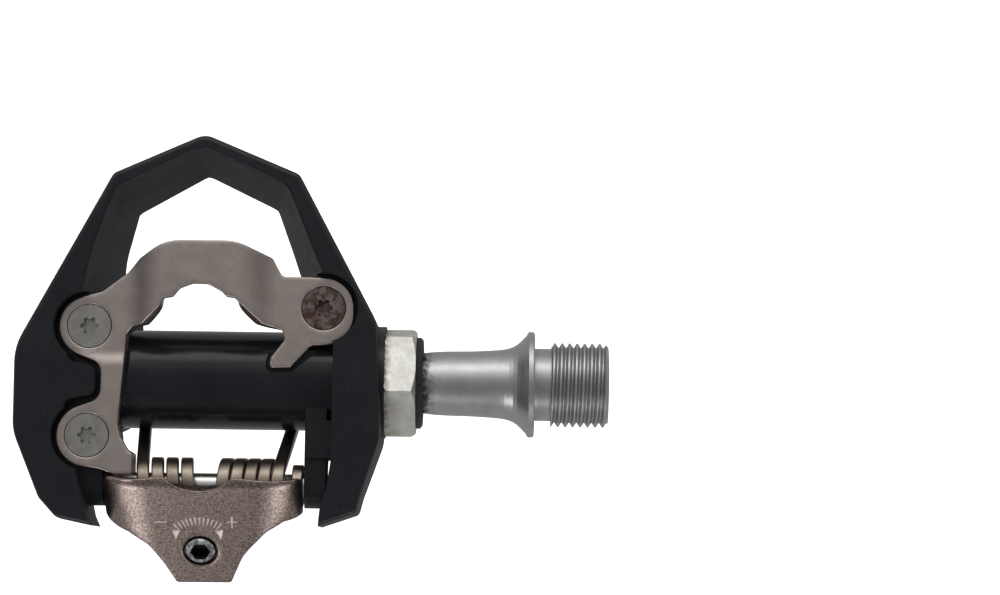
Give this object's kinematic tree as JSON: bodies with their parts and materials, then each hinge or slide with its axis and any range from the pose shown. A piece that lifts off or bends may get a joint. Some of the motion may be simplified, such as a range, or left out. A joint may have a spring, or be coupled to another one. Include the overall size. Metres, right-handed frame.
{
  "type": "clipless bicycle pedal",
  "caption": "Single-sided clipless pedal for a left crank: hexagonal cage body, fixed front claw plate, sprung rear claw, cartridge spindle.",
  "frame": {"origin": "on the spindle axis, in the plane of the collar face that seats on the crank", "axes": "+X along the spindle towards the crank, +Y forwards, +Z out of the cleat side"},
  "size_m": [0.0993, 0.0747, 0.0224],
  "materials": {
    "body_paint": "satin black-blue paint",
    "plate_steel": "satin warm nickel plating",
    "claw_steel": "satin brown nickel plating with fine grain",
    "screw_steel": "satin zinc",
    "screw_stained": "tarnished zinc",
    "pin_steel": "ground",
    "spring_steel": "satin, plated",
    "bolt_steel": "satin zinc",
    "spindle_steel": "satin turned steel",
    "lock_bolt_steel": "satin plated",
    "bearing_steel": "polished",
    "inner_steel": "ground",
    "seal_rubber": "matt"
  },
  "bodies": {
    "spindle": {"spindle": "spindle_steel", "bearing_cone": "inner_steel", "lock_nut": "inner_steel"},
    "pedal_body": {"pedal_body": "body_paint", "front_plate": "plate_steel", "plate_screw_front_left": "screw_steel", "plate_screw_rear_left": "screw_steel", "plate_screw_front_right": "screw_stained", "pivot_pin": "pin_steel", "left_spring": "spring_steel", "right_spring": "spring_steel", "lock_bolt": "lock_bolt_steel", "dust_seal": "seal_rubber", "body_seal": "seal_rubber", "bearing_sleeve": "inner_steel"},
    "inboard_balls": {"inboard_balls": "bearing_steel"},
    "outboard_balls": {"outboard_balls": "bearing_steel"},
    "rear_claw": {"rear_claw": "claw_steel"},
    "tension_bolt": {"tension_bolt": "bolt_steel"},
    "adjuster_plate": {"adjuster_plate": "inner_steel"}
  },
  "joints": [
    {"name": "pedal_spin", "type": "hinge", "parent": "spindle", "child": "pedal_body", "pos_m": [-0.0556, 0, 0], "axis": [1, 0, 0], "continuous": true},
    {"name": "inboard_ball_orbit", "type": "hinge", "parent": "spindle", "child": "inboard_balls", "pos_m": [-0.0332, 0, 0], "axis": [1, 0, 0], "continuous": true},
    {"name": "outboard_ball_orbit", "type": "hinge", "parent": "spindle", "child": "outboard_balls", "pos_m": [-0.0713, 0, 0], "axis": [1, 0, 0], "continuous": true},
    {"name": "claw_pivot", "type": "hinge", "parent": "pedal_body", "child": "rear_claw", "pos_m": [-0.0556, -0.0179, 0.0038], "axis": [1, 0, 0], "range_deg": [0, 16], "stiffness_Nm_per_rad": 0.05, "springref_deg": -34.38, "deforming": ["left_spring", "right_spring"]},
    {"name": "tension_bolt_turn", "type": "hinge", "parent": "rear_claw", "child": "tension_bolt", "pos_m": [-0.0556, -0.02901, 0.00457], "axis": [0, -0.5736, 0.8192], "range_deg": [-720, 0]},
    {"name": "adjuster_travel", "type": "slide", "parent": "rear_claw", "child": "adjuster_plate", "axis": [0, -0.5736, 0.8192], "range_m": [-0.0014, 0]}
  ],
  "couplings": [
    {"joint": "inboard_ball_orbit", "follows": "pedal_spin", "ratio": 0.63043},
    {"joint": "outboard_ball_orbit", "follows": "pedal_spin", "ratio": 0.63043},
    {"joint": "tension_bolt_turn", "follows": "adjuster_travel", "rad_per_m": 8976}
  ]
}
